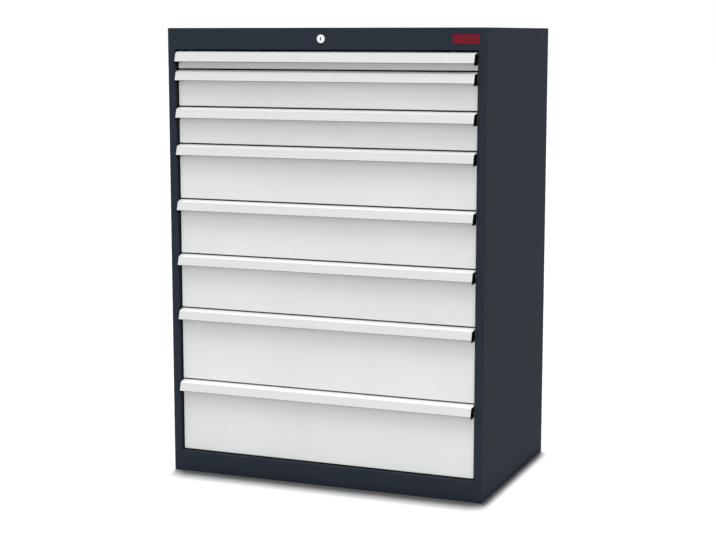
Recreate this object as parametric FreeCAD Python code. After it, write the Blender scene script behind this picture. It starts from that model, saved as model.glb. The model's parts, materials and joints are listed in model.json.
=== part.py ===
import FreeCAD, Part

import math
import os

from FreeCAD import Vector

# Steel drawer cabinet with eight drawers on telescopic runners, closed by one central lock.
# All lengths are millimetres. +X is to the right seen from the front, +Y goes into the cabinet
# and +Z is up. The origin is on the floor, under the middle of the whole object.

# Housing of folded sheet steel
cabinet_width = 896.0
cabinet_depth = 574.0
fascia_height = 57.0
plinth_height = 57.0
stile_width = 22.0
frame_return = 20.0
housing_sheet = 1.5
housing_bend = 1.0
rear_flange = 25.0
foot_flange = 40.0
side_hem = 20.0

# Drawer grid: the height that each drawer takes in the front, from the top down
drawer_modules = [50.0, 100.0, 100.0, 150.0, 150.0, 150.0, 200.0, 200.0]
front_gap = 4.0
side_gap = 4.5
front_recess = 10.0

# Drawer front, a shallow pan with turned-in lips behind
front_depth = 14.0
front_sheet = 1.2
front_lip = 14.0
front_edge_round = 1.1

# Handle strip, a profile of one thickness with a sloping top and a leaning grip lip
handle_thickness = 1.8
handle_inner_round = 0.5
handle_outer_round = 1.0
handle_flange = 16.0
crest_reach = 20.0
crest_drop = 5.3
lip_reach = 26.9
lip_drop = 28.2
lip_return = 4.0
cap_width = 6.0
cap_clearance = 0.15
cap_plate = 1.6
cap_ledge = 4.5
cap_skirt = 5.0

# Drawer tray
tray_sheet = 1.2
tray_floor_gap = 3.0
tray_headroom = 10.0
tray_rear_room = 35.0
tray_rim = 5.0

# Telescopic runners: a channel on the cabinet, a bar with rollers and a channel on the tray
runner_front_gap = 2.0
runner_rear_room = 48.0
runner_inset = 1.0
channel_height = 30.0
channel_depth = 7.0
channel_sheet = 1.5
channel_bend = 0.6
channel_lift = 1.5
middle_bar_thickness = 1.5
middle_bar_height = 24.0
running_gap = 0.25
roller_clearance = 0.3
roller_end_gap = 0.15
roller_edge_round = 0.25
roller_end_margin = 20.0
roller_overlap = 30.0
axle_radius = 3.0
axle_clearance = 0.05
axle_head = 0.6
axle_head_radius = 5.0

# Uprights that carry the cabinet channels
upright_width = 40.0
upright_front_gap = 22.0
upright_rear_room = 79.0
upright_slot_pitch = 25.0
upright_slot_height = 12.0
upright_slot_width = 5.0

# Central lock in the middle of the fascia
plug_radius = 7.0
plug_clearance = 0.05
plug_step = 0.4
plug_tail = 6.0
lock_wall = 2.45
lock_head_rim = 1.4
lock_head_depth = 3.0
lock_head_round = 1.0
lock_body_length = 28.0
lock_hole_clearance = 0.1
lock_nut_wall = 3.5
lock_nut_height = 5.0
thread_clearance = 0.05
keyway_height = 8.0
keyway_width = 2.4
keyway_depth = 16.0
lock_turn_degrees = 90.0

# Shaft from the lock to the rear, with a crank that moves the lock bar
shaft_radius = 4.0
shaft_clearance = 0.05
bracket_thickness = 2.0
bracket_width = 34.0
bracket_wall = 8.0
bracket_setback = 30.0
crank_radius = 6.0
crank_thickness = 4.0
crank_rim = 3.5
crank_gap = 1.0
crank_pin_radius = 2.5
crank_pin_slack = 0.4

# Lock bar on the back panel, with an arm and a tooth over the rear wall of each tray
bar_edge = 3.0
bar_thickness = 3.0
bar_clearance = 0.3
bar_above_pin = 12.0
bar_below_arm = 60.0
arm_width = 16.0
arm_thickness = 3.0
tooth_depth = 4.0
tooth_wall_gap = 1.0
tooth_rest_gap = 1.0
arm_seat_gap = 0.5
guide_sheet = 2.0
guide_height = 30.0
guide_foot = 14.0
guide_gap = 4.0
arms_per_guide = 3

# Rivets that hold the back panel
rivet_shank_radius = 2.35
rivet_hole_clearance = 0.05
rivet_head_radius = 4.5
rivet_head_height = 1.6
rivet_head_round = 1.2
rivet_tail = 1.2
rivets_per_side = 5
rivets_on_top = 4
rivet_end_margin = 80.0

# Fixing holes in the feet of the base pan
anchor_hole_radius = 5.5
anchor_side_margin = 60.0

# Blank badge plate on the fascia
badge_width = 70.0
badge_height = 24.0
badge_thickness = 1.2
badge_side_margin = 20.0
badge_corner = 3.0

# One overrun serves every cut, and one tolerance finds edges that lie in a plane
cut_overrun = 2.0
plane_tolerance = 0.01

# Outside radius of a housing fold, which is also the room that it takes
fold = housing_sheet + housing_bend

# Widths, from the outside of the housing to the trays
half_width = cabinet_width / 2
inner_half_width = half_width - housing_sheet
opening_half_width = half_width - stile_width
front_half_width = opening_half_width - side_gap
upright_face = opening_half_width - runner_inset
middle_outer = upright_face - channel_depth - running_gap
middle_inner = middle_outer - middle_bar_thickness
tray_half_width = middle_inner - running_gap - channel_depth
roller_width = channel_depth - channel_sheet + running_gap - axle_head - roller_end_gap
roller_radius = channel_height / 2 - channel_sheet - roller_clearance

# Heights
opening_bottom = plinth_height
opening_top = opening_bottom + sum(drawer_modules) + front_gap
top_z = opening_top + fascia_height
lock_z = top_z - fascia_height / 2

# Depths, with the origin midway between the fronts of the handle caps and the rivet heads
handle_projection = lip_reach - front_recess
overall_depth = cabinet_depth + handle_projection + rivet_head_height
front_y = handle_projection - overall_depth / 2
back_y = front_y + cabinet_depth
back_panel_y = back_y - 2 * housing_sheet
panel_y = front_y + front_recess
tray_front_y = panel_y + front_depth
tray_back_y = back_y - tray_rear_room
runner_front_y = tray_front_y + runner_front_gap
runner_back_y = back_y - runner_rear_room
runner_length = runner_back_y - runner_front_y

# Lock and lock bar
lock_body_radius = plug_radius + plug_clearance + lock_wall
lock_head_radius = lock_body_radius + lock_head_rim
plug_back_y = front_y + lock_body_length + plug_tail
crank_angle = math.radians(lock_turn_degrees / 2)
bar_lift = 2 * crank_radius * math.sin(crank_angle)
pin_x = crank_radius * math.cos(crank_angle)
pin_z = lock_z + crank_radius * math.sin(crank_angle)
slot_reach = crank_pin_radius + crank_pin_slack
bar_half_width = crank_radius + slot_reach + bar_edge
bar_back_y = back_panel_y - bar_clearance
bar_front_y = bar_back_y - bar_thickness
crank_back_y = bar_front_y - crank_gap
crank_front_y = crank_back_y - crank_thickness
tooth_length = bar_lift - tooth_rest_gap + arm_seat_gap


def block(x0, x1, y0, y1, z0, z1):
    """A block between two opposite corners."""
    return Part.makeBox(x1 - x0, y1 - y0, z1 - z0, Vector(x0, y0, z0))


def rod_x(y, z, radius, x0, x1):
    """A round rod along X."""
    return Part.makeCylinder(radius, x1 - x0, Vector(x0, y, z), Vector(1, 0, 0))


def rod_y(x, z, radius, y0, y1):
    """A round rod along Y."""
    return Part.makeCylinder(radius, y1 - y0, Vector(x, y0, z), Vector(0, 1, 0))


def rod_z(x, y, radius, z0, z1):
    """A round rod along Z."""
    return Part.makeCylinder(radius, z1 - z0, Vector(x, y, z0), Vector(0, 0, 1))


def edges_in_y_plane(shape, y):
    """The edges of a shape that lie in the plane at y."""
    return [e for e in shape.Edges
            if abs(e.BoundBox.YMin - y) < plane_tolerance and abs(e.BoundBox.YMax - y) < plane_tolerance]


def direction(a, b):
    """The direction from point a to point b, both in a plane."""
    length = math.hypot(b[0] - a[0], b[1] - a[1])
    return ((b[0] - a[0]) / length, (b[1] - a[1]) / length)


def moved(point, towards, distance):
    """A point in a plane, moved along a direction."""
    return (point[0] + towards[0] * distance, point[1] + towards[1] * distance)


def turn_at(before, corner, after):
    """How far a path turns at a corner, in radians, positive to the left."""
    a = direction(before, corner)
    b = direction(corner, after)
    return math.atan2(a[0] * b[1] - a[1] * b[0], a[0] * b[0] + a[1] * b[1])


def offset_path(path, distance):
    """The path moved to its left by a distance, with mitred corners."""
    shifted = []
    last = len(path) - 1
    for i, point in enumerate(path):
        half_turn = turn_at(path[i - 1], point, path[i + 1]) / 2 if 0 < i < last else 0
        along = direction(point, path[i + 1]) if i < last else direction(path[i - 1], point)
        left = (-along[1], along[0])
        aside = (left[0] * math.cos(half_turn) + left[1] * math.sin(half_turn),
                 left[1] * math.cos(half_turn) - left[0] * math.sin(half_turn))
        shifted.append(moved(point, aside, distance / math.cos(half_turn)))
    return shifted


def sheet_corners(path, thickness, inside_round, outside_round):
    """Outline of a folded sheet on the left of a path, as (u, v, radius) corners."""
    other = offset_path(path, thickness)
    near = []
    far = []
    for i, point in enumerate(path):
        near_radius = 0
        far_radius = 0
        if 0 < i < len(path) - 1:
            to_left = turn_at(path[i - 1], point, path[i + 1]) > 0
            near_radius = outside_round if to_left else inside_round
            far_radius = inside_round if to_left else outside_round
        near.append((point[0], point[1], near_radius))
        far.append((other[i][0], other[i][1], far_radius))
    return near + far[::-1]


def prism(corners, plane, start, length):
    """A solid from a closed outline of (u, v, radius) corners, drawn in plane XY, YZ or XZ and
    pulled along the third axis from start."""
    place = {
        "XY": lambda p: Vector(p[0], p[1], start),
        "YZ": lambda p: Vector(start, p[0], p[1]),
        "XZ": lambda p: Vector(p[0], start, p[1]),
    }[plane]
    pull = {
        "XY": Vector(0, 0, length),
        "YZ": Vector(length, 0, 0),
        "XZ": Vector(0, length, 0),
    }[plane]
    count = len(corners)
    edges = []
    ends = []
    for i, (u, v, radius) in enumerate(corners):
        if radius == 0:
            ends.append(((u, v), (u, v)))
            continue
        before = corners[i - 1]
        after = corners[(i + 1) % count]
        turn = turn_at(before, (u, v), after)
        reach = radius * math.tan(abs(turn) / 2)
        arc_start = moved((u, v), direction((u, v), before), reach)
        arc_end = moved((u, v), direction((u, v), after), reach)
        middle = ((arc_start[0] + arc_end[0]) / 2, (arc_start[1] + arc_end[1]) / 2)
        crown = moved(middle, direction(middle, (u, v)), radius * (1 - math.cos(turn / 2)))
        edges.append(Part.Arc(place(arc_start), place(crown), place(arc_end)).toShape())
        ends.append((arc_start, arc_end))
    for i in range(count):
        edges.append(Part.LineSegment(place(ends[i][1]), place(ends[(i + 1) % count][0])).toShape())
    wire = Part.Wire(Part.__sortEdges__(edges))
    return Part.Face(wire).extrude(pull)


def mirrored(shape):
    """The same shape on the other side of the middle plane."""
    return shape.mirror(Vector(0, 0, 0), Vector(1, 0, 0))


def folded(path, plane, start, length):
    """A housing sheet folded along a path."""
    corners = sheet_corners(path, housing_sheet, housing_bend, fold)
    return prism(corners, plane, start, length)


def drawer_grid():
    """Bottom and top of each drawer front, from the top drawer down."""
    fronts = []
    top = opening_top - front_gap
    for module in drawer_modules:
        fronts.append((top - module + front_gap, top))
        top -= module
    return fronts


def tray_levels(front_bottom, front_top):
    """Bottom and top of the tray behind a drawer front."""
    return front_bottom + tray_floor_gap, front_top - tray_headroom


def channel_level(front_bottom):
    """Bottom of the runner channels of a drawer."""
    return front_bottom + tray_floor_gap + channel_lift


def rivet_places():
    """Places of the rivets in the rear flanges, as (x, z)."""
    side_x = half_width - rear_flange / 2
    low = opening_bottom + rivet_end_margin
    step = (top_z - rivet_end_margin - low) / (rivets_per_side - 1)
    places = [(x, low + step * i) for x in (-side_x, side_x) for i in range(rivets_per_side)]
    row_half = half_width - rear_flange - rivet_end_margin
    row_step = 2 * row_half / (rivets_on_top - 1)
    return places + [(row_step * i - row_half, top_z - rear_flange / 2) for i in range(rivets_on_top)]


def rivet_holes():
    """Cutters for all rivet holes."""
    radius = rivet_shank_radius + rivet_hole_clearance
    y0 = back_panel_y - cut_overrun
    return Part.makeCompound([rod_y(x, z, radius, y0, back_y + cut_overrun) for x, z in rivet_places()])


def right_side_panel():
    """Side wall with the front stile, its return and the rear flange folded from one sheet.

    Beside the fascia and the plinth the stile's inner fold is filled, as a ground weld leaves it.
    """
    path = [
        (opening_half_width, front_y + frame_return),
        (opening_half_width, front_y),
        (half_width, front_y),
        (half_width, back_y),
        (half_width - rear_flange, back_y),
    ]
    under_top = top_z - housing_sheet
    panel = folded(path, "XY", 0, under_top)
    fills = [block(opening_half_width, opening_half_width + fold, front_y, front_y + fold, z0, z1)
             for z0, z1 in ((0, opening_bottom), (opening_top, under_top))]
    return panel.fuse(fills).removeSplitter().cut(rivet_holes())


def notches(low_z, high_z):
    """Cutters that clear a pan of the stiles in front and of the rear flanges behind."""
    outside = half_width + cut_overrun
    front = block(opening_half_width, outside, front_y - cut_overrun, front_y + frame_return, low_z, high_z)
    rear = block(half_width - rear_flange, outside, back_y - fold, back_y + cut_overrun, low_z, high_z)
    return Part.makeCompound([front, rear, mirrored(front), mirrored(rear)])


def side_hems(rear_y, low_z, high_z):
    """Flanges of a pan that lie on the side walls."""
    hem = block(inner_half_width - housing_sheet, inner_half_width, front_y + frame_return, rear_y, low_z, high_z)
    return [hem, mirrored(hem)]


def top_panel():
    """Top cover over the whole housing, with the fascia, a rear flange and a hem at each side."""
    path = [
        (back_y, top_z - rear_flange),
        (back_y, top_z),
        (front_y, top_z),
        (front_y, opening_top),
        (front_y + frame_return, opening_top),
    ]
    under = top_z - housing_sheet
    plan = [(-half_width, front_y, fold), (half_width, front_y, fold),
            (half_width, back_y, fold), (-half_width, back_y, fold)]
    outline = prism(plan, "XY", opening_top, fascia_height)
    pan = folded(path, "YZ", -half_width, cabinet_width).common(outline)
    hems = side_hems(back_panel_y, top_z - side_hem, under)
    pan = pan.cut(notches(opening_top - cut_overrun, under)).fuse(hems).removeSplitter()
    lock_hole = rod_y(0, lock_z, lock_body_radius + lock_hole_clearance,
                      front_y - cut_overrun, front_y + housing_sheet + cut_overrun)
    return pan.cut([lock_hole, rivet_holes()])


def anchor_places():
    """Places of the four fixing holes in the feet, as (x, y)."""
    x = half_width - anchor_side_margin
    return [(side * x, y) for side in (-1, 1) for y in (front_y + foot_flange / 2, back_y - foot_flange / 2)]


def base_pan():
    """Floor of the cabinet with the plinth and rear wall folded down to feet on the ground."""
    path = [
        (back_y - foot_flange, 0),
        (back_y, 0),
        (back_y, plinth_height),
        (front_y, plinth_height),
        (front_y, 0),
        (front_y + foot_flange, 0),
    ]
    pan = folded(path, "YZ", -inner_half_width, 2 * inner_half_width)
    hems = side_hems(back_y - fold, plinth_height - side_hem, plinth_height - housing_sheet)
    pan = pan.cut(notches(-cut_overrun, plinth_height + cut_overrun)).fuse(hems).removeSplitter()
    return pan.cut([rod_z(x, y, anchor_hole_radius, -cut_overrun, housing_sheet + cut_overrun)
                    for x, y in anchor_places()])


def back_panel():
    """Flat rear wall on the flanges of the housing, clear of their folds."""
    sheet = block(fold - half_width, half_width - fold, back_panel_y, back_y - housing_sheet,
                  plinth_height, top_z - fold)
    return sheet.cut(rivet_holes())


def back_panel_rivets():
    """Rivets through the rear flanges and the back panel, each one solid."""
    rivets = []
    for x, z in rivet_places():
        shank = rod_y(x, z, rivet_shank_radius, back_panel_y - rivet_tail, back_y)
        head = rod_y(x, z, rivet_head_radius, back_y, back_y + rivet_head_height)
        head = head.makeFillet(rivet_head_round, edges_in_y_plane(head, back_y + rivet_head_height))
        rivets.append(shank.fuse(head))
    return Part.makeCompound(rivets)


def right_upright(y0):
    """Slotted U post between the side wall and the runners, on the right."""
    y1 = y0 + upright_width
    z1 = top_z - side_hem
    path = [(inner_half_width, y1), (upright_face, y1), (upright_face, y0), (inner_half_width, y0)]
    post = folded(path, "XY", plinth_height, z1 - plinth_height)
    slot_y = (y0 + y1 - upright_slot_width) / 2
    slots = []
    for i in range(1, int((z1 - plinth_height) / upright_slot_pitch)):
        z = plinth_height + i * upright_slot_pitch
        slots.append(block(upright_face - cut_overrun, upright_face + housing_sheet + cut_overrun,
                           slot_y, slot_y + upright_slot_width, z, z + upright_slot_height))
    return post.cut(Part.makeCompound(slots))


def channel(web_x, rim_x, z):
    """A runner channel with its web at web_x and its rims at rim_x."""
    path = [(rim_x, z), (web_x, z), (web_x, z + channel_height), (rim_x, z + channel_height)]
    if rim_x > web_x:
        path.reverse()
    corners = sheet_corners(path, channel_sheet, channel_bend, channel_bend + channel_sheet)
    return prism(corners, "XZ", runner_front_y, runner_length)


def cabinet_channels():
    """The fixed channels of all runners, each one solid, on the uprights."""
    channels = []
    for bottom, _ in drawer_grid():
        right = channel(upright_face, upright_face - channel_depth, channel_level(bottom))
        channels += [right, mirrored(right)]
    return Part.makeCompound(channels)


def roller(y, z, x0, x1):
    """A runner roller between two planes of x, with its bore."""
    wheel = rod_x(y, z, roller_radius, x0, x1)
    rims = [e for e in wheel.Edges if e.BoundBox.XLength < plane_tolerance]
    wheel = wheel.makeFillet(roller_edge_round, rims)
    return wheel.cut(rod_x(y, z, axle_radius + axle_clearance, x0 - cut_overrun, x1 + cut_overrun))


def middle_rails(front_bottom):
    """The two middle bars of a drawer's runners, with their rollers as separate solids.

    The rear rollers run in the cabinet's channel and the front ones carry the tray's channel.
    """
    z = channel_level(front_bottom) + channel_height / 2
    centre_y = (runner_front_y + runner_back_y) / 2
    bar = block(middle_inner, middle_outer, runner_front_y, runner_back_y,
                z - middle_bar_height / 2, z + middle_bar_height / 2)
    rollers = []
    for y in (runner_back_y - roller_end_margin, centre_y + roller_overlap):
        x1 = middle_outer + roller_width
        rollers.append(roller(y, z, middle_outer, x1))
        axle = rod_x(y, z, axle_radius, middle_inner, x1)
        bar = bar.fuse([axle, rod_x(y, z, axle_head_radius, x1, x1 + axle_head)])
    for y in (runner_front_y + roller_end_margin, centre_y - roller_overlap):
        x0 = middle_inner - roller_width
        rollers.append(roller(y, z, x0, middle_inner))
        axle = rod_x(y, z, axle_radius, x0, middle_outer)
        bar = bar.fuse([axle, rod_x(y, z, axle_head_radius, x0 - axle_head, x0)])
    pieces = [bar.removeSplitter()] + rollers
    return Part.makeCompound(pieces + [mirrored(piece) for piece in pieces])


def drawer_tray(front_bottom, front_top):
    """Open tray welded from five sheets, with a runner channel at each side, all as separate solids.

    The floor carries the front and rear walls and the side walls, which have turned-in rims.
    """
    bottom, top = tray_levels(front_bottom, front_top)
    floor_top = bottom + tray_sheet
    inner_half = tray_half_width - tray_sheet
    y0 = tray_front_y + tray_sheet
    y1 = tray_back_y - tray_sheet
    floor = block(-tray_half_width, tray_half_width, tray_front_y, tray_back_y, bottom, floor_top)
    front = block(-tray_half_width, tray_half_width, tray_front_y, y0, floor_top, top)
    rear = block(-tray_half_width, tray_half_width, y1, tray_back_y, floor_top, top)
    wall = block(inner_half, tray_half_width, y0, y1, floor_top, top)
    rim = block(inner_half - tray_rim, inner_half, y0, y1, top - tray_sheet, top)
    side = wall.fuse(rim).removeSplitter()
    runner = channel(tray_half_width, tray_half_width + channel_depth, channel_level(front_bottom))
    return Part.makeCompound([floor, front, rear, side, mirrored(side), runner, mirrored(runner)])


def drawer_front(front_bottom, front_top):
    """Front panel folded to a shallow pan, with lips that lie on the tray's front wall."""
    pan = block(-front_half_width, front_half_width, panel_y, tray_front_y, front_bottom, front_top)
    pan = pan.makeFillet(front_edge_round, edges_in_y_plane(pan, panel_y))
    inner_half = front_half_width - front_sheet
    cavity = block(-inner_half, inner_half, panel_y + front_sheet, tray_front_y - front_sheet,
                   front_bottom + front_sheet, front_top - front_sheet)
    window_half = front_half_width - front_lip
    window = block(-window_half, window_half, tray_front_y - front_sheet - cut_overrun,
                   tray_front_y + cut_overrun, front_bottom + front_lip, front_top - front_lip)
    return pan.cut([cavity, window])


def handle_path(front_top):
    """Outer line of the handle profile, from the flange on the panel over the crest to the lip."""
    lip_y = panel_y - lip_reach
    lip_z = front_top - lip_drop
    return [
        (panel_y, front_top - handle_flange),
        (panel_y, front_top),
        (panel_y - crest_reach, front_top - crest_drop),
        (lip_y, lip_z),
        (lip_y + lip_return, lip_z),
    ]


def drawer_handle(front_top):
    """Handle strip over the full width of the drawer front, its ends cut back for the plates of the caps."""
    corners = sheet_corners(handle_path(front_top), handle_thickness, handle_inner_round, handle_outer_round)
    strip = prism(corners, "YZ", -front_half_width, 2 * front_half_width)
    notch = block(front_half_width - cap_plate, front_half_width + cut_overrun,
                  panel_y - lip_reach - cut_overrun, panel_y + cut_overrun,
                  front_top - lip_drop - cut_overrun, front_top - cap_ledge)
    return strip.cut([notch, mirrored(notch)])


def handle_caps(front_top):
    """Caps at both ends of the handle, each a plug in the profile with a plate that covers the strip's end."""
    path = handle_path(front_top)
    inside = offset_path(path, handle_thickness + cap_clearance)
    flange_end = path[0][1] - cap_clearance
    return_end = path[4][0] + cap_clearance
    lip_y, lip_z = path[3]
    corners = [(u, v, handle_inner_round) for u, v in inside[1:4]]
    corners += [
        (return_end, inside[3][1], 0),
        (return_end, lip_z, 0),
        (panel_y, lip_z, 0),
        (panel_y, flange_end, 0),
        (inside[1][0], flange_end, 0),
    ]
    plug = prism(corners, "YZ", front_half_width - cap_width, cap_width - cap_plate)
    ledge_z = front_top - cap_ledge - cap_clearance
    crest_y, crest_z = path[2]
    ledge_y = panel_y - crest_reach * (front_top - ledge_z) / crest_drop
    outline = [
        (panel_y, ledge_z, 0),
        (ledge_y, ledge_z, 0),
        (crest_y, crest_z, handle_outer_round),
        (lip_y, lip_z, 0),
        (lip_y, lip_z - cap_skirt, handle_outer_round),
        (panel_y, lip_z - cap_skirt, 0),
    ]
    plate = prism(outline, "YZ", front_half_width - cap_plate, cap_plate)
    cap = plug.fuse(plate).removeSplitter()
    return Part.makeCompound([cap, mirrored(cap)])


def lock_barrel():
    """Lock housing with its round head in front of the fascia and a bore for the plug."""
    face_y = front_y - lock_head_depth
    head = rod_y(0, lock_z, lock_head_radius, face_y, front_y)
    head = head.makeFillet(lock_head_round, edges_in_y_plane(head, face_y))
    body_end = front_y + lock_body_length
    body = rod_y(0, lock_z, lock_body_radius, front_y, body_end)
    bore = rod_y(0, lock_z, plug_radius + plug_clearance, face_y - cut_overrun, body_end + cut_overrun)
    return head.fuse(body).removeSplitter().cut(bore)


def lock_nut():
    """Six-sided nut that clamps the lock behind the fascia."""
    sides = 6
    corner_radius = (lock_body_radius + lock_nut_wall) / math.cos(math.pi / sides)
    corners = []
    for i in range(sides):
        angle = 2 * math.pi * i / sides
        corners.append((corner_radius * math.cos(angle), lock_z + corner_radius * math.sin(angle), 0))
    y0 = front_y + housing_sheet
    nut = prism(corners, "XZ", y0, lock_nut_height)
    return nut.cut(rod_y(0, lock_z, lock_body_radius + thread_clearance,
                         y0 - cut_overrun, y0 + lock_nut_height + cut_overrun))


def lock_plug():
    """Turning plug with the keyway."""
    face_y = front_y - lock_head_depth - plug_step
    plug = rod_y(0, lock_z, plug_radius, face_y, plug_back_y)
    return plug.cut(block(-keyway_width / 2, keyway_width / 2, face_y - cut_overrun, face_y + keyway_depth,
                          lock_z - keyway_height / 2, lock_z + keyway_height / 2))


def lock_shaft():
    """Shaft from the plug to the rear, with a crank and its pin."""
    shaft = rod_y(0, lock_z, shaft_radius, plug_back_y, crank_back_y)
    hub = rod_y(0, lock_z, shaft_radius + crank_rim, crank_front_y, crank_back_y)
    eye = rod_y(pin_x, pin_z, crank_pin_radius + crank_rim, crank_front_y, crank_back_y)
    pin = rod_y(pin_x, pin_z, crank_pin_radius, crank_front_y, bar_back_y)
    return shaft.fuse([hub, eye, pin]).removeSplitter()


def shaft_bracket():
    """Plate under the top cover that carries the rear end of the shaft."""
    y1 = crank_front_y - bracket_setback
    y0 = y1 - bracket_thickness
    plate = block(-bracket_width / 2, bracket_width / 2, y0, y1,
                  lock_z - shaft_radius - bracket_wall, top_z - housing_sheet)
    return plate.cut(rod_y(0, lock_z, shaft_radius + shaft_clearance, y0 - cut_overrun, y1 + cut_overrun))


def arm_levels():
    """Underside of each arm of the lock bar with the lock open."""
    return [tray_levels(bottom, top)[1] + tooth_rest_gap + tooth_length for bottom, top in drawer_grid()]


def lock_bar():
    """Flat bar behind the drawers, with a cross slot for the crank pin."""
    bar = block(-bar_half_width, bar_half_width, bar_front_y, bar_back_y,
                arm_levels()[-1] - bar_below_arm, pin_z + bar_above_pin)
    return bar.cut(block(pin_x - slot_reach, crank_radius + slot_reach, bar_front_y - cut_overrun,
                         bar_back_y + cut_overrun, pin_z - slot_reach, pin_z + slot_reach))


def lock_arms():
    """For each drawer an arm welded to the lock bar, and a tooth welded under its end."""
    tooth_back = tray_back_y - tray_sheet - tooth_wall_gap
    tooth_front = tooth_back - tooth_depth
    pieces = []
    for z in arm_levels():
        pieces.append(block(-arm_width / 2, arm_width / 2, tooth_front, bar_front_y, z, z + arm_thickness))
        pieces.append(block(-arm_width / 2, arm_width / 2, tooth_front, tooth_back, z - tooth_length, z))
    return Part.makeCompound(pieces)


def lock_bar_guides():
    """Hat brackets on the back panel that hold the lock bar, each below the stroke of an arm."""
    inner = bar_half_width + bar_clearance
    face = bar_front_y - bar_clearance
    path = [
        (inner + guide_foot, back_panel_y),
        (inner, back_panel_y),
        (inner, face),
        (-inner, face),
        (-inner, back_panel_y),
        (-inner - guide_foot, back_panel_y),
    ]
    corners = sheet_corners(path, guide_sheet, 0, 0)
    tops = [z - bar_lift - guide_gap for z in arm_levels()[1::arms_per_guide]]
    return Part.makeCompound([prism(corners, "XY", top - guide_height, guide_height) for top in tops])


def badge_plate():
    """Blank plate with rounded corners on the right of the fascia."""
    x1 = half_width - badge_side_margin
    x0 = x1 - badge_width
    z0 = lock_z - badge_height / 2
    z1 = z0 + badge_height
    corners = [(x, z, badge_corner) for x, z in ((x0, z0), (x1, z0), (x1, z1), (x0, z1))]
    return prism(corners, "XZ", front_y - badge_thickness, badge_thickness)


def all_parts():
    """Every sub-part by name."""
    side = right_side_panel()
    front_post = right_upright(front_y + frame_return + upright_front_gap)
    rear_post = right_upright(back_y - upright_rear_room - upright_width)
    parts = {
        "right_side_panel": side,
        "left_side_panel": mirrored(side),
        "top_panel": top_panel(),
        "base_pan": base_pan(),
        "back_panel": back_panel(),
        "back_panel_rivets": back_panel_rivets(),
        "right_front_upright": front_post,
        "left_front_upright": mirrored(front_post),
        "right_rear_upright": rear_post,
        "left_rear_upright": mirrored(rear_post),
        "cabinet_channels": cabinet_channels(),
        "lock_barrel": lock_barrel(),
        "lock_nut": lock_nut(),
        "lock_plug": lock_plug(),
        "lock_shaft": lock_shaft(),
        "shaft_bracket": shaft_bracket(),
        "lock_bar": lock_bar(),
        "lock_arms": lock_arms(),
        "lock_bar_guides": lock_bar_guides(),
        "badge_plate": badge_plate(),
    }
    for number, (bottom, top) in enumerate(drawer_grid(), start=1):
        parts[f"drawer_{number}_front"] = drawer_front(bottom, top)
        parts[f"drawer_{number}_handle"] = drawer_handle(top)
        parts[f"drawer_{number}_handle_caps"] = handle_caps(top)
        parts[f"drawer_{number}_tray"] = drawer_tray(bottom, top)
        parts[f"drawer_{number}_middle_rails"] = middle_rails(bottom)
    return parts


def main():
    os.makedirs("parts", exist_ok=True)
    for name, shape in all_parts().items():
        if not shape.isValid():
            raise ValueError(f"{name} isn't a valid shape")
        shape.exportStep(f"parts/{name}.step")


if __name__ == "__main__":
    main()
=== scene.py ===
import json
import math

import bmesh
import bpy
from bpy.props import FloatProperty, FloatVectorProperty, IntProperty, PointerProperty
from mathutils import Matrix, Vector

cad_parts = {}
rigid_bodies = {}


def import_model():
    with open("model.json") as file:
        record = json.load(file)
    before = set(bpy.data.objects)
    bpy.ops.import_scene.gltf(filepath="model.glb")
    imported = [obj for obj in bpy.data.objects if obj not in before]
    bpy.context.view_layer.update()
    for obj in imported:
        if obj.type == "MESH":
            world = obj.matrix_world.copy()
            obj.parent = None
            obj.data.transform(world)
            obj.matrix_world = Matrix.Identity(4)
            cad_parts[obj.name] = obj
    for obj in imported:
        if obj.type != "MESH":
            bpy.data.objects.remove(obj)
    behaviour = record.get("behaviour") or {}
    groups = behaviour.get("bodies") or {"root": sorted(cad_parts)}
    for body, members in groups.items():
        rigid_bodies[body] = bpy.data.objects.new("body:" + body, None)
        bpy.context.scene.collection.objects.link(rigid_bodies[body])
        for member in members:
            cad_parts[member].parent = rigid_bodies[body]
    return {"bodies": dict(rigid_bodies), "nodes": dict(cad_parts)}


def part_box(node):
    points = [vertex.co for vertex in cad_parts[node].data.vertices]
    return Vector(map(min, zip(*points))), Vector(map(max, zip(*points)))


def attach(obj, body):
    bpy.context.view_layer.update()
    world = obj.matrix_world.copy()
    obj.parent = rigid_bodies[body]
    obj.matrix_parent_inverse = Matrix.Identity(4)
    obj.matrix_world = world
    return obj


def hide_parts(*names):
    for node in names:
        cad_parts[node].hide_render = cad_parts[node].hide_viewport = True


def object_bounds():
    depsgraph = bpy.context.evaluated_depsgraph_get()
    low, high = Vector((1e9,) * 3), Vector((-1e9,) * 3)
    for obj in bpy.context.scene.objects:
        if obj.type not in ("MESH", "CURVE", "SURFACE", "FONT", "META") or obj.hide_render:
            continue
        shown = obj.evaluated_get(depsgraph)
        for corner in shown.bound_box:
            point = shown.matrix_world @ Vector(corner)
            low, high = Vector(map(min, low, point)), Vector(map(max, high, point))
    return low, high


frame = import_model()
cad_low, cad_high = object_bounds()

bl_info = {
    "name": "Drawer Cabinet",
    "version": (1, 0, 0),
    "blender": (4, 5, 0),
    "location": "3D View > Sidebar > Cabinet",
    "description": "Dresses the steel drawer cabinet and sets up its studio",
    "category": "Object",
}

DRAWERS = sorted(int(name.split("_")[1]) for name in frame["bodies"] if name.startswith("drawer_")
                 and not name.endswith("_middle"))
MM = 0.001
NEAR = 0.01 * MM
SHARP_ANGLE = math.radians(35)
NODE_SPACING = 180
# Nearly all noise lies between these two values.
NOISE_LOW = 0.3
NOISE_HIGH = 0.7
# Where a coat is rubbed, its colour is multiplied by the gain, and the lift is added.
RUBBED_GAIN = 1.6
RUBBED_LIFT = 0.01
DUST_COLOUR = (0.42, 0.41, 0.39)
DUST_SHARE = 0.05
DUST_ROUGHNESS = 0.12
SENSOR_WIDTH = 36.0


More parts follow.
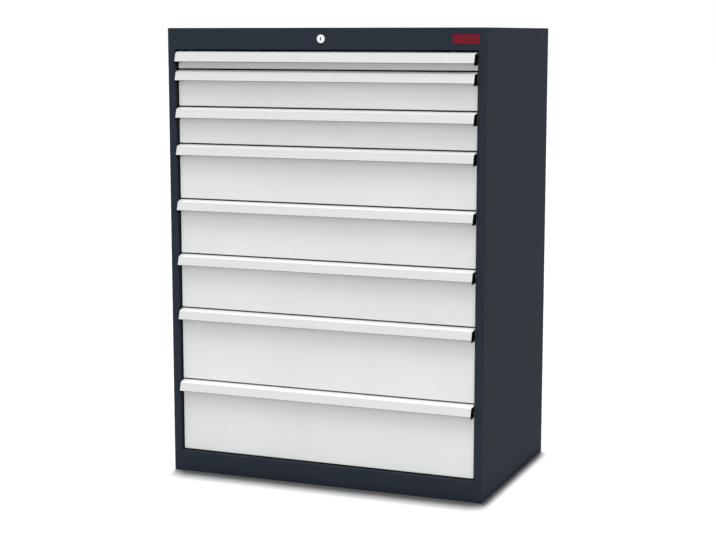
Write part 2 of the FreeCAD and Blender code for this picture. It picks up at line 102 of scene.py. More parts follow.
def colour_property(name, description, default):
    """A colour that a user may change."""
    return FloatVectorProperty(name=name, description=description, subtype="COLOR", size=3,
                               min=0, max=1, default=default)


def length_property(name, description, default):
    """A length that a user may change."""
    return FloatProperty(name=name, description=description, unit="LENGTH", min=0, default=default,
                         precision=5)


class CabinetShapes(bpy.types.PropertyGroup):
    """Sizes of the pieces that are made here."""

    front_round: length_property("Front edge", "Outer radius of the folds of a drawer front", 1.1 * MM)
    front_sheet: length_property("Front sheet", "Sheet of a drawer front", 1.2 * MM)
    front_lip: length_property("Front lip", "Width of the lips behind a drawer front", 14 * MM)
    handle_sheet: length_property("Handle wall", "Thickness of the handle profile", 1.8 * MM)
    handle_inside: length_property("Inner folds", "Radius inside the folds of the handle", 0.5 * MM)
    handle_outside: length_property("Outer folds", "Radius outside the folds of the handle", 1.0 * MM)
    handle_flange: length_property("Handle flange", "Height of the flange on the drawer front", 16 * MM)
    crest_reach: length_property("Crest reach", "How far the crest stands out from the front", 20 * MM)
    crest_drop: length_property("Crest drop", "How far the crest lies below the front's top", 5.3 * MM)
    lip_reach: length_property("Lip reach", "How far the lip's lower edge stands out", 26.9 * MM)
    lip_drop: length_property("Lip drop", "How far the lip's lower edge lies below the front's top",
                              28.2 * MM)
    lip_return: length_property("Lip return", "Width of the strip turned in under the lip", 4 * MM)
    cut_edge: length_property("Cut edge", "Bevel that deburring leaves on the profile's cut ends", 0.25 * MM)
    cap_width: length_property("Cap width", "Width of an end cap", 6 * MM)
    cap_clearance: length_property("Cap clearance", "Room between an end cap and the profile", 0.15 * MM)
    cap_plate: length_property("Cap plate", "Thickness of the plate over the handle's end", 1.6 * MM)
    cap_ledge: length_property("Cap ledge", "How far the plate's top lies below the front's top", 4.5 * MM)
    cap_skirt: length_property("Cap skirt", "How far the plate reaches below the lip", 5 * MM)
    cap_round: length_property("Cap rim", "Radius of the rim of an end cap", 0.45 * MM)
    head_round: length_property("Lock rim", "Radius of the rim of the lock's head", 1.0 * MM)
    mouth_bevel: length_property("Lock mouth", "Bevel of the bore in the lock's head", 0.45 * MM)
    barrel_wall: length_property("Lock wall", "Wall of the lock's body round the plug's bore", 2.45 * MM)
    plug_clearance: length_property("Plug clearance", "Room round the plug in its bore", 0.05 * MM)
    plug_bevel: length_property("Plug rim", "Bevel of the plug's face", 0.35 * MM)
    keyway_width: length_property("Keyway width", "Width of the keyway", 2.4 * MM)
    keyway_height: length_property("Keyway height", "Height of the keyway", 8 * MM)
    keyway_depth: length_property("Keyway depth", "Depth of the keyway", 16 * MM)
    keyway_mouth: length_property("Keyway mouth", "Bevel round the keyway's mouth", 0.3 * MM)
    badge_corner: length_property("Badge corner", "Corner radius of the blank plate", 3 * MM)
    badge_rim: length_property("Badge rim", "Radius of the plate's front rim", 0.5 * MM)
    fold_steps: IntProperty(name="Fold steps", description="Faces round a fold or rim", min=1, default=4)
    cap_steps: IntProperty(name="Cap steps", description="Faces round an end cap's rim", min=1, default=3)
    cut_steps: IntProperty(name="Cut steps", description="Faces over a small bevel", min=1, default=2)
    corner_steps: IntProperty(name="Corner steps", description="Faces round a plate's corner or keyway's end",
                              min=1, default=8)
    turn_steps: IntProperty(name="Turn steps", description="Faces round the lock", min=16, default=96)


class CabinetFinish(bpy.types.PropertyGroup):
    """Colours and surface grain of the cabinet."""

    housing_colour: colour_property("Housing", "Powder coat of the housing", (0.0212, 0.0272, 0.0370))
    front_colour: colour_property("Fronts", "Powder coat of the drawer fronts", (0.654, 0.664, 0.659))
    tray_colour: colour_property("Trays", "Powder coat of the drawer trays", (0.56, 0.57, 0.565))
    handle_colour: colour_property("Handles", "Anodised skin of the handle strips", (0.612, 0.617, 0.612))
    # Painted highlight: the paler colour given to the handles' upward faces, as light from above falls on
    # them.
    handle_top_highlight: colour_property("Handle top highlight", "Painted highlight on the handles' tops", (0.885, 0.89, 0.885))
    # Painted shade: the near-black colour given to the handles' downward faces, as shade falls under the lip.
    handle_under_shade: colour_property("Handle underside shade", "Painted shade under the handles",
                                  (0.01, 0.01, 0.01))
    cap_colour: colour_property("End caps", "Moulded plastic of the caps", (0.0030, 0.0030, 0.0033))
    steel_colour: colour_property("Zinc", "Zinc plating of the runners and posts", (0.56, 0.57, 0.58))
    lock_colour: colour_property("Lock", "Nickel plating of the lock", (0.78, 0.82, 0.825))
    # Painted shade: the near-black colour over the keyway, where the hole lies in shadow.
    keyway_shade_colour: colour_property("Keyway", "Painted shade inside the keyway", (0.012, 0.012, 0.013))
    badge_colour: colour_property("Badge", "Enamel of the blank plate", (0.140, 0.004, 0.013))
    coat_grain: length_property("Coat grain", "Width of one bump in the housing's powder coat", 0.9 * MM)
    coat_depth: length_property("Coat depth", "Height of the bumps in the housing's powder coat", 0.012 * MM)
    front_grain: length_property("Front grain", "Width of one bump in the fronts' powder coat", 1.6 * MM)
    front_depth: length_property("Front depth", "Height of the bumps in the fronts' powder coat", 0.006 * MM)
    # How far the keyway's painted shade reaches past the keyway.
    keyway_shade: length_property("Keyway shade", "How far the keyway's painted shade reaches past it", 0.35 * MM)
    edge_width: length_property("Edge width", "How far the thinner coat reaches from an edge", 0.9 * MM)


class StudioSettings(bpy.types.PropertyGroup):
    """Camera, lights and floor."""

    camera_place: FloatVectorProperty(name="Camera place", description="Where the camera stands",
                                      subtype="TRANSLATION", unit="LENGTH", size=3,
                                      default=(1.6385, -4.09065, 1.1986))
    camera_tilt: FloatProperty(name="Camera tilt", description="Camera angle from straight down",
                               subtype="ANGLE", default=math.radians(81.604))
    camera_turn: FloatProperty(name="Camera turn", description="Camera angle about the vertical",
                               subtype="ANGLE", default=math.radians(21.944))
    lens: FloatProperty(name="Lens", description="Focal length in millimetres on a 36 mm sensor",
                        default=79.96)
    dome: FloatProperty(name="Dome", description="Brightness of the white surroundings", min=0,
                        default=1.0)
    key: FloatProperty(name="Key", description="Strength of the soft key light", min=0, default=1.65)
    key_softness: FloatProperty(name="Key softness", description="Angle that the key light fills",
                                subtype="ANGLE", default=math.radians(32))
    key_tilt: FloatProperty(name="Key tilt", description="Angle of the key light from straight down",
                            subtype="ANGLE", default=math.radians(20))
    key_turn: FloatProperty(name="Key turn", description="Angle of the key light about the vertical",
                            subtype="ANGLE", default=math.radians(15))
    floor_key: FloatProperty(name="Floor light", description="Strength of the lights on the floor alone",
                             min=0, default=30.5)
    floor_softness: FloatProperty(name="Floor softness",
                                  description="Angle that each of the floor's lights fills",
                                  subtype="ANGLE", default=math.radians(1.3))
    floor_lights: IntProperty(name="Floor lights", description="Number of the floor's lights", min=1,
                              default=4)
    shadow_near: length_property("Shadow start", "Where the shadow before the cabinet begins to fade",
                                 5.5 * MM)
    shadow_far: length_property("Shadow end", "Where the shadow before the cabinet ends", 81.5 * MM)
    shadow_aside: length_property("Shadow aside", "Width of the shadow beside the cabinet", 19 * MM)
    floor_radius: length_property("Floor radius", "Radius of the floor", 60.0)
    floor_steps: IntProperty(name="Floor steps", description="Sides of the floor", min=16, default=96)
    floor_tone: FloatProperty(name="Floor tone", description="Share of the light that the floor gives back",
                              min=0, max=1, default=0.1)


class Graph:
    """Adds shader nodes to a tree and links them."""

    def __init__(self, tree):
        self.tree = tree

    def add(self, kind, inputs=None, **settings):
        """A node of this kind. A value in inputs is a number, a colour or another node's socket."""
        made = self.tree.nodes.new("ShaderNode" + kind)
        made.location = (len(self.tree.nodes) * NODE_SPACING, 0)
        for name, value in settings.items():
            setattr(made, name, value)
        for name, value in (inputs or {}).items():
            self.feed(made.inputs[name], value)
        return made

    def feed(self, socket, value):
        """Links a socket to another, or sets its value."""
        if isinstance(value, bpy.types.NodeSocket):
            self.tree.links.new(value, socket)
        else:
            socket.default_value = value

    def math(self, operation, a, b, clamp=False):
        """The result of a sum of two numbers."""
        return self.add("Math", {0: a, 1: b}, operation=operation, use_clamp=clamp).outputs[0]

    def vector(self, operation, inputs, output="Vector"):
        """The result of a sum of vectors."""
        return self.add("VectorMath", dict(enumerate(inputs)), operation=operation).outputs[output]

    def noise(self, vector, scale, detail=2.0, roughness=0.5):
        """Noise from 0 to 1."""
        inputs = {"Vector": vector, "Scale": scale, "Detail": detail, "Roughness": roughness}
        return self.add("TexNoise", inputs).outputs["Fac"]

    def spread(self, value, low, high, from_low=0.0, from_high=1.0):
        """A value between two limits moved to two others."""
        inputs = {"Value": value, "From Min": from_low, "From Max": from_high, "To Min": low, "To Max": high}
        return self.add("MapRange", inputs).outputs["Result"]

    def vary(self, noise, low, high):
        """A value that follows noise from one limit to another."""
        return self.spread(noise, low, high, NOISE_LOW, NOISE_HIGH)

    def weigh(self, a, b, share):
        """The mean of two values, weighed by the first one's share."""
        return self.math("ADD", self.math("MULTIPLY", a, share), self.math("MULTIPLY", b, 1 - share))

    def blend(self, share, a, b):
        """A colour between two."""
        made = self.add("Mix", {0: share, 6: a, 7: b}, data_type="RGBA")
        return made.outputs[2]

    def shade(self, colour, value):
        """A colour made lighter or darker."""
        return self.add("HueSaturation", {"Color": colour, "Value": value}).outputs["Color"]

    def bump(self, height, distance):
        """The normal of a surface with small heights."""
        return self.add("Bump", {"Height": height, "Distance": distance}).outputs["Normal"]

    def upward(self):
        """How far a face looks up, from -1 to 1."""
        normal = self.add("NewGeometry").outputs["Normal"]
        return self.add("SeparateXYZ", {"Vector": normal}).outputs["Z"]

    def group(self, tree, inputs):
        """A shared effect placed in this tree."""
        return self.add("Group", inputs, node_tree=tree).outputs


def effect(name, inputs, outputs, build):
    """A node group that materials share. Inputs are (name, kind, default), outputs (name, kind)."""
    if name in bpy.data.node_groups:
        return bpy.data.node_groups[name]
    tree = bpy.data.node_groups.new(name, "ShaderNodeTree")
    for label, kind, default in inputs:
        socket = tree.interface.new_socket(label, in_out="INPUT", socket_type="NodeSocket" + kind)
        if default is not None:
            socket.default_value = default
    for label, kind in outputs:
        tree.interface.new_socket(label, in_out="OUTPUT", socket_type="NodeSocket" + kind)
    graph = Graph(tree)
    given = tree.nodes.new("NodeGroupInput").outputs
    taken = tree.nodes.new("NodeGroupOutput").inputs
    for label, value in build(graph, given).items():
        graph.feed(taken[label], value)
    return tree


def powder_coat_effect():
    """Orange peel of a powder coat, with a slow change of tone over the sheet."""
    def build(graph, given):
        vector, bumps = given["Vector"], given["Bumps"]
        peel = graph.noise(vector, bumps, detail=2.0, roughness=0.45)
        wave = graph.noise(vector, graph.math("MULTIPLY", bumps, 0.22), detail=1.0)
        cloud = graph.noise(vector, scale=3.2, detail=3.0, roughness=0.55)
        fleck = graph.noise(vector, graph.math("MULTIPLY", bumps, 1.9), detail=1.0)
        return {"Height": graph.weigh(peel, wave, share=0.65), "Tone": graph.weigh(cloud, fleck, share=0.7),
                "Fleck": fleck}

    inputs = [("Vector", "Vector", None), ("Bumps", "Float", 900.0)]
    outputs = [("Height", "Float"), ("Tone", "Float"), ("Fleck", "Float")]
    return effect("powder_coat", inputs, outputs, build)


def coat_edge_effect():
    """Mask of the edges, where a coat pulls thin and hands rub it."""
    def build(graph, given):
        rounded = graph.add("Bevel", {"Radius": given["Width"]}, samples=4).outputs["Normal"]
        flat = graph.add("NewGeometry").outputs["Normal"]
        same = graph.vector("DOT_PRODUCT", (rounded, flat), output="Value")
        mask = graph.spread(same, 1.0, 0.0, from_low=0.82, from_high=0.995)
        patches = graph.noise(given["Vector"], scale=45.0, detail=4.0, roughness=0.6)
        patchy = graph.spread(patches, 0.35, 1.0, from_low=0.35, from_high=0.6)
        return {"Mask": graph.math("MULTIPLY", mask, patchy, clamp=True)}

    inputs = [("Vector", "Vector", None), ("Width", "Float", 0.001)]
    return effect("coat_edge", inputs, [("Mask", "Float")], build)


def drawn_metal_effect():
    """Fine lines along one axis, as rolling, drawing or brushing leaves them."""
    def build(graph, given):
        lengthwise = graph.add("Mapping", {"Vector": given["Vector"], "Scale": given["Stretch"]},
                               vector_type="POINT").outputs["Vector"]
        fine = graph.noise(lengthwise, scale=2600.0, detail=2.0, roughness=0.6)
        broad = graph.noise(lengthwise, scale=420.0, detail=3.0, roughness=0.55)
        return {"Height": graph.weigh(fine, broad, share=0.6), "Tone": broad}

    inputs = [("Vector", "Vector", None), ("Stretch", "Vector", (0.01, 1.0, 1.0))]
    return effect("drawn_metal", inputs, [("Height", "Float"), ("Tone", "Float")], build)


def zinc_effect():
    """Cloudy patches of a zinc plating."""
    def build(graph, given):
        vector = given["Vector"]
        warp = graph.add("TexNoise", {"Vector": vector, "Scale": 60.0, "Detail": 2.0}).outputs["Color"]
        bent = graph.vector("MULTIPLY", (warp, (0.004, 0.004, 0.004)))
        moved = graph.vector("ADD", (vector, bent))
        patch = graph.add("TexVoronoi", {"Vector": moved, "Scale": 180.0}, feature="SMOOTH_F1")
        cells = graph.add("SeparateColor", {"Color": patch.outputs["Color"]}).outputs[0]
        cloud = graph.noise(vector, scale=14.0, detail=4.0, roughness=0.6)
        return {"Tone": graph.weigh(cells, cloud, share=0.35), "Height": graph.noise(vector, scale=1500.0)}

    return effect("zinc_cloud", [("Vector", "Vector", None)], [("Tone", "Float"), ("Height", "Float")], build)


def settled_dust_effect():
    """Mask of fine dust on faces that look up."""
    def build(graph, given):
        facing = graph.spread(graph.upward(), 0.0, 1.0, from_low=0.55, from_high=0.95)
        grains = graph.noise(given["Vector"], scale=260.0, detail=5.0, roughness=0.7)
        fine = graph.spread(grains, 0.0, 1.0, from_low=0.38, from_high=0.75)
        return {"Mask": graph.math("MULTIPLY", facing, fine, clamp=True)}

    return effect("settled_dust", [("Vector", "Vector", None)], [("Mask", "Float")], build)


def new_material(name):
    """An empty material: its graph, its shader and its object coordinates."""
    material = bpy.data.materials.new(name)
    material.use_nodes = True
    graph = Graph(material.node_tree)
    shader = next(n for n in material.node_tree.nodes if n.type == "BSDF_PRINCIPLED")
    place = graph.add("TexCoord").outputs["Object"]
    return material, graph, shader, place


def set_surface(graph, shader, colour, roughness, normal, metallic=0.0, specular=0.5):
    """Feeds a material's shader."""
    values = {"Base Color": colour, "Roughness": roughness, "Normal": normal, "Metallic": metallic,
              "Specular IOR Level": specular}
    for name, value in values.items():
        graph.feed(shader.inputs[name], value)


def opaque(colour):
    """A colour with its alpha."""
    return (*colour, 1.0)


def powder_coated(name, colour, grain, depth, edge_width, roughness, shine, edge_lift):
    """Powder-coated sheet steel."""
    material, graph, shader, place = new_material(name)
    coat = graph.group(powder_coat_effect(), {"Vector": place, "Bumps": 1 / grain})
    edge = graph.group(coat_edge_effect(), {"Vector": place, "Width": edge_width})["Mask"]
    dust = graph.group(settled_dust_effect(), {"Vector": place})["Mask"]
    toned = graph.shade(opaque(colour), graph.vary(coat["Tone"], 0.955, 1.045))
    rubbed = opaque([min(1.0, level * RUBBED_GAIN + RUBBED_LIFT) for level in colour])
    worn = graph.blend(graph.math("MULTIPLY", edge, edge_lift), toned, rubbed)
    dusty = graph.blend(graph.math("MULTIPLY", dust, DUST_SHARE), worn, opaque(DUST_COLOUR))
    rough = graph.vary(coat["Fleck"], roughness - 0.04, roughness + 0.05)
    dull = graph.math("ADD", rough, graph.math("MULTIPLY", dust, DUST_ROUGHNESS), clamp=True)
    set_surface(graph, shader, dusty, dull, graph.bump(coat["Height"], depth), specular=shine)
    return material


def housing_paint(finish):
    """Anthracite powder coat with a fine orange peel."""
    return powder_coated("housing_paint", finish.housing_colour, finish.coat_grain, finish.coat_depth,
                         finish.edge_width, roughness=0.58, shine=0.011, edge_lift=0.25)


def front_paint(finish):
    """Light grey powder coat, smoother than the housing's."""
    return powder_coated("front_paint", finish.front_colour, finish.front_grain, finish.front_depth,
                         finish.edge_width, roughness=0.45, shine=0.20, edge_lift=0.15)


def tray_paint(finish):
    """Light grey powder coat of the trays."""
    return powder_coated("tray_paint", finish.tray_colour, finish.front_grain, finish.front_depth,
                         finish.edge_width, roughness=0.50, shine=0.25, edge_lift=0.20)


def handle_aluminium(finish):
    """Satin anodised aluminium with fine lines along the profile, with a painted highlight on faces that look
    up and painted shade on faces that look down.
    """
    material, graph, shader, place = new_material("handle_aluminium")
    lines = graph.group(drawn_metal_effect(), {"Vector": place, "Stretch": (0.012, 1.0, 1.0)})
    up = graph.upward()
    # Painted highlight: faces that look up blend towards the paler top colour, as light from above falls on
    # them.
    top = graph.spread(up, 0.0, 1.0, from_low=0.5, from_high=0.9)
    # Painted shade: faces that look down blend towards a near-black, as shade falls under the lip.
    under = graph.spread(up, 1.0, 0.0, from_low=-0.3, from_high=0.2)
    skin = graph.blend(top, opaque(finish.handle_colour), opaque(finish.handle_top_highlight))
    shaded = graph.blend(under, skin, opaque(finish.handle_under_shade))
    toned = graph.shade(shaded, graph.vary(lines["Tone"], 0.975, 1.02))
    set_surface(graph, shader, toned, graph.vary(lines["Tone"], 0.44, 0.54),
                graph.bump(lines["Height"], 0.004 * MM), metallic=0.35)
    return material


def cap_plastic(finish):
    """Black moulded plastic with a fine spark-eroded texture."""
    material, graph, shader, place = new_material("cap_plastic")
    grain = graph.noise(place, scale=3800.0, detail=3.0, roughness=0.6)
    toned = graph.shade(opaque(finish.cap_colour), graph.vary(graph.noise(place, scale=240.0), 0.8, 1.25))
    set_surface(graph, shader, toned, graph.vary(grain, 0.62, 0.78), graph.bump(grain, 0.02 * MM),
                specular=0.02)
    return material


def zinc_steel(finish):
    """Zinc-plated steel, with rolling lines along its length."""
    material, graph, shader, place = new_material("zinc_steel")
    zinc = graph.group(zinc_effect(), {"Vector": place})
    lines = graph.group(drawn_metal_effect(), {"Vector": place, "Stretch": (1.0, 0.02, 1.0)})
    toned = graph.shade(opaque(finish.steel_colour), graph.vary(zinc["Tone"], 0.86, 1.10))
    height = graph.weigh(zinc["Height"], lines["Height"], share=0.4)
    set_surface(graph, shader, toned, graph.vary(zinc["Tone"], 0.32, 0.5), graph.bump(height, 0.008 * MM),
                metallic=1.0)
    return material


def lock_nickel(finish):
    """Nickel plating over turned metal, with rings about the lock's axis, and painted shade in the keyway and
    a little past its rim.
    """
    material, graph, shader, place = new_material("lock_nickel")
    low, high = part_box("lock_barrel")
    about = graph.vector("SUBTRACT", (place, tuple((low + high) / 2)))
    across = graph.vector("MULTIPLY", (about, (1.0, 0.0, 1.0)))
    radius = graph.vector("LENGTH", (across,), output="Value")
    ring = graph.add("CombineXYZ", {"X": radius}).outputs["Vector"]
    turned = graph.noise(ring, scale=5200.0, detail=2.0, roughness=0.6)
    toned = graph.shade(opaque(finish.lock_colour), graph.vary(graph.noise(place, scale=300.0), 0.96, 1.04))
    aside = graph.add("SeparateXYZ", {"Vector": graph.vector("ABSOLUTE", (about,))}).outputs
    shapes = bpy.context.scene.cabinet_shapes
    # Painted shade: a near-black over the keyway's outline and a little past it, where shade falls in the
    # hole.
    keyway_shade_mask = [graph.math("LESS_THAN", aside[axis], size / 2 + finish.keyway_shade)
              for axis, size in (("X", shapes.keyway_width), ("Z", shapes.keyway_height))]
    shaded = graph.blend(graph.math("MULTIPLY", *keyway_shade_mask), toned, opaque(finish.keyway_shade_colour))
    set_surface(graph, shader, shaded, graph.vary(turned, 0.22, 0.34), graph.bump(turned, 0.003 * MM),
                metallic=0.3)
    return material


def badge_enamel(finish):
    """Glossy red enamel, slightly uneven as it flows to the edges."""
    material, graph, shader, place = new_material("badge_enamel")
    pool = graph.noise(place, scale=90.0)
    toned = graph.shade(opaque(finish.badge_colour), graph.vary(pool, 0.93, 1.06))
    rough = graph.vary(graph.noise(place, scale=900.0), 0.2, 0.3)
    set_surface(graph, shader, toned, rough, graph.bump(pool, 0.03 * MM), specular=0.12)
    return material


MATERIALS = {
    "housing_paint": housing_paint,
    "front_paint": front_paint,
    "tray_paint": tray_paint,
    "handle_aluminium": handle_aluminium,
    "cap_plastic": cap_plastic,
    "zinc_steel": zinc_steel,
    "lock_nickel": lock_nickel,
    "badge_enamel": badge_enamel,
}


def material_for(context, slot):
    """The material of a slot, made when it is first asked for."""
    known = bpy.data.materials.get("finish_" + slot)
    if known is None:
        known = MATERIALS[slot](context.scene.cabinet_finish)
        known.name = "finish_" + slot
    return known


def dress(context, node, slot):
    """Gives a node of the frame its finish."""
    mesh = frame["nodes"][node].data
    mesh.materials.clear()
    mesh.materials.append(material_for(context, slot))


def moved(point, towards, distance):
    """A point in a plane, moved along a direction."""
    return (point[0] + towards[0] * distance, point[1] + towards[1] * distance)


def direction(a, b):
    """The direction from one point in a plane to another."""
    length = math.dist(a, b)
    return ((b[0] - a[0]) / length, (b[1] - a[1]) / length)


def turn_at(before, corner, after):
    """How far a path turns at a corner, in radians, positive to the left."""
    a = direction(before, corner)
    b = direction(corner, after)
    return math.atan2(a[0] * b[1] - a[1] * b[0], a[0] * b[0] + a[1] * b[1])


def offset_path(path, distance):
    """The path moved to its left by a distance, with mitred corners."""
    shifted = []
    last = len(path) - 1
    for i, point in enumerate(path):
        half_turn = turn_at(path[i - 1], point, path[i + 1]) / 2 if 0 < i < last else 0
        along = direction(point, path[i + 1]) if i < last else direction(path[i - 1], point)
        aside = (-along[1] * math.cos(half_turn) + along[0] * math.sin(half_turn),
                 along[0] * math.cos(half_turn) + along[1] * math.sin(half_turn))
        shifted.append(moved(point, aside, distance / math.cos(half_turn)))
    return shifted


def pull_out(shape, faces, vec):
    """Extrudes faces of a shape by a vector, and gives what that made."""
    made = bmesh.ops.extrude_face_region(shape, geom=faces)["geom"]
    verts = [item for item in made if isinstance(item, bmesh.types.BMVert)]
    bmesh.ops.translate(shape, verts=verts, vec=vec)
    return made


def strip(outline, low_x, high_x):
    """A bar along X with a closed (y, z) outline."""
    shape = bmesh.new()
    end = shape.faces.new([shape.verts.new((low_x, y, z)) for y, z in outline])
    pull_out(shape, [end], (high_x - low_x, 0, 0))
    bmesh.ops.recalc_face_normals(shape, faces=shape.faces[:])
    return shape


def edges_at(shape, corner):
    """The edges along X that pass through a (y, z) corner."""
    def passes(vert):
        return abs(vert.co.y - corner[0]) < NEAR and abs(vert.co.z - corner[1]) < NEAR

    return [edge for edge in shape.edges if all(passes(vert) for vert in edge.verts)]


def edges_across(shape, axis, level):
    """The edges that lie in the plane at a level of an axis."""
    return [edge for edge in shape.edges if all(abs(vert.co[axis] - level) < NEAR for vert in edge.verts)]


def round_off(shape, edges, size, steps):
    """Rounds edges off, starting at a distance from each."""
    bmesh.ops.bevel(shape, geom=edges, offset=size, offset_type="OFFSET", segments=steps, profile=0.5,
                    affect="EDGES", clamp_overlap=True, material=-1)


def round_fold(shape, before, corner, after, radius, steps):
    """Rounds a fold of a strip to a radius."""
    reach = radius * math.tan(abs(turn_at(before, corner, after)) / 2)
    round_off(shape, edges_at(shape, corner), reach, steps)


def put_piece(context, shape, name, body, slot, *nodes):
    """Makes a finished shape a piece of the cabinet, in the place of nodes of the frame."""
    bmesh.ops.recalc_face_normals(shape, faces=shape.faces[:])
    mesh = bpy.data.meshes.new(name)
    shape.to_mesh(mesh)
    shape.free()
    mesh.shade_smooth()
    mesh.set_sharp_from_angle(angle=SHARP_ANGLE)
    mesh.materials.append(material_for(context, slot))
    piece = bpy.data.objects.new(name, mesh)
    context.scene.collection.objects.link(piece)
    piece.modifiers.new("even_shading", "WEIGHTED_NORMAL").keep_sharp = True
    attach(piece, body)
    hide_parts(*nodes)
    return piece


def front_shape(shapes, low, high):
    """A drawer front folded from one sheet, open behind between its lips."""
    shape = bmesh.new()
    bmesh.ops.create_cube(shape, size=1.0)
    bmesh.ops.scale(shape, verts=shape.verts[:], vec=high - low)
    bmesh.ops.translate(shape, verts=shape.verts[:], vec=(low + high) / 2)
    back = [f for f in shape.faces if all(abs(v.co.y - high.y) < NEAR for v in f.verts)]
    bmesh.ops.inset_region(shape, faces=back, thickness=shapes.front_lip, use_even_offset=True)
    bmesh.ops.delete(shape, geom=back, context="FACES_ONLY")
    bmesh.ops.recalc_face_normals(shape, faces=shape.faces[:])
    bmesh.ops.solidify(shape, geom=shape.faces[:], thickness=shapes.front_sheet)

    def outside(vert):
        return all(min(abs(vert.co[i] - low[i]), abs(vert.co[i] - high[i])) < NEAR for i in range(3))

    folds = [edge for edge in shape.edges if all(outside(vert) for vert in edge.verts)]
    round_off(shape, folds, shapes.front_round, shapes.fold_steps)
    return shape


def handle_line(shapes, top_y, top_z):
    """Outer line of the handle profile, from the flange over the crest to the strip under the lip."""
    lip_y = top_y - shapes.lip_reach
    lip_z = top_z - shapes.lip_drop
    return [
        (top_y, top_z - shapes.handle_flange),
        (top_y, top_z),
        (top_y - shapes.crest_reach, top_z - shapes.crest_drop),
        (lip_y, lip_z),
        (lip_y + shapes.lip_return, lip_z),
    ]


def level_point(a, b, level):
    """Where the line from a to b passes a height."""
    share = (level - a[1]) / (b[1] - a[1])
    return (a[0] + (b[0] - a[0]) * share, level)


def handle_shape(shapes, low, high, top_y, top_z):
    """A handle strip: one wall, folded over the crest and turned in under the lip. Its ends are cut back
    below a ledge for the plates of the caps."""
    outer = handle_line(shapes, top_y, top_z)
    inner = offset_path(outer, shapes.handle_sheet)
    ledge = top_z - shapes.cap_ledge
    rear, rear_in = (level_point(line[0], line[1], ledge) for line in (outer, inner))
    slope, slope_in = (level_point(line[1], line[2], ledge) for line in (outer, inner))
    shape = bmesh.new()
    start = low.x + shapes.cap_plate
    corners = outer + inner + [rear, rear_in, slope, slope_in]
    points = {corner: shape.verts.new((start, *corner)) for corner in corners}
    top = (rear, outer[1], slope, slope_in, inner[1], rear_in)
    flange = (outer[0], rear, rear_in, inner[0])
    lip = (slope, *outer[2:], *inner[:1:-1], slope_in)
    section = [shape.faces.new([points[corner] for corner in outline]) for outline in (top, flange, lip)]
    made = pull_out(shape, section, (high.x - low.x - 2 * shapes.cap_plate, 0, 0))
    far_faces = [item for item in made if isinstance(item, bmesh.types.BMFace)]
    far_top = next(face for face in far_faces if min(vert.co.z for vert in face.verts) > ledge - NEAR)
    for face, step in ((section[0], -shapes.cap_plate), (far_top, shapes.cap_plate)):
        end = bmesh.ops.extrude_discrete_faces(shape, faces=[face])["faces"][0]
        bmesh.ops.translate(shape, verts=end.verts[:], vec=(step, 0, 0))
    bmesh.ops.recalc_face_normals(shape, faces=shape.faces[:])
    for line, to_left in ((outer, shapes.handle_outside), (inner, shapes.handle_inside)):
        for before, corner, after in zip(line, line[1:], line[2:]):
            left = turn_at(before, corner, after) > 0
            other = shapes.handle_inside if line is outer else shapes.handle_outside
            round_fold(shape, before, corner, after, to_left if left else other, shapes.fold_steps)
    for level in (low.x, high.x):
        round_off(shape, edges_across(shape, 0, level), shapes.cut_edge, shapes.cut_steps)
    return shape


def join(shape, other):
    """Adds another shape to a shape."""
    mesh = bpy.data.meshes.new("joined")
    other.to_mesh(mesh)
    other.free()
    shape.from_mesh(mesh)
    bpy.data.meshes.remove(mesh)


def cap_shape(shapes, low, high, top_y, top_z):
    """The two caps of a handle, each a plug in the profile and a plate over the strip's end."""
    outer = handle_line(shapes, top_y, top_z)
    inner = offset_path(outer, shapes.handle_sheet + shapes.cap_clearance)
    flange_end = outer[0][1] - shapes.cap_clearance
    return_end = outer[4][0] + shapes.cap_clearance
    plug_line = inner[1:4] + [(return_end, inner[3][1]), (return_end, outer[3][1]), (top_y, outer[3][1]),
                              (top_y, flange_end), (inner[1][0], flange_end)]
    ledge = top_z - shapes.cap_ledge - shapes.cap_clearance
    bottom = outer[3][1] - shapes.cap_skirt
    plate_line = [(top_y, ledge), level_point(outer[1], outer[2], ledge), outer[2], outer[3],
                  (outer[3][0], bottom), (top_y, bottom)]
    caps = bmesh.new()
    for end, side in ((low.x, 1), (high.x, -1)):
        inside = end + side * shapes.cap_plate
        tip = end + side * shapes.cap_width
        plug = strip(plug_line, *sorted((inside, tip)))
        for i in range(3):
            round_fold(plug, plug_line[i - 1], plug_line[i], plug_line[i + 1], shapes.handle_inside,
                       shapes.fold_steps)
        round_off(plug, edges_across(plug, 0, tip), shapes.cap_round, shapes.cap_steps)
        plate = strip(plate_line, *sorted((end, inside)))
        for i in (2, 4):
            round_fold(plate, plate_line[i - 1], plate_line[i], plate_line[i + 1], shapes.handle_outside,
                       shapes.fold_steps)
        round_off(plate, edges_across(plate, 0, end), shapes.cap_round, shapes.cap_steps)
        join(caps, plug)
        join(caps, plate)
    return caps


def turned_shape(outline, centre, steps):
    """A solid turned about the lock's axis from a closed (radius, y) outline."""
    shape = bmesh.new()
    ring = [shape.verts.new((centre.x + radius, y, centre.z)) for radius, y in outline]
    edges = [shape.edges.new((a, b)) for a, b in zip(ring, ring[1:] + ring[:1])]
    bmesh.ops.spin(shape, geom=ring + edges, cent=(centre.x, 0, centre.z), axis=(0, 1, 0),
                   angle=math.tau, steps=steps, use_merge=True)
    return shape


def quarter(centre, radius, start, steps):
    """Points of a quarter circle in a plane, from an angle on."""
    return [(centre[0] + radius * math.cos(start + math.pi / 2 * i / steps),
             centre[1] + radius * math.sin(start + math.pi / 2 * i / steps)) for i in range(steps + 1)]


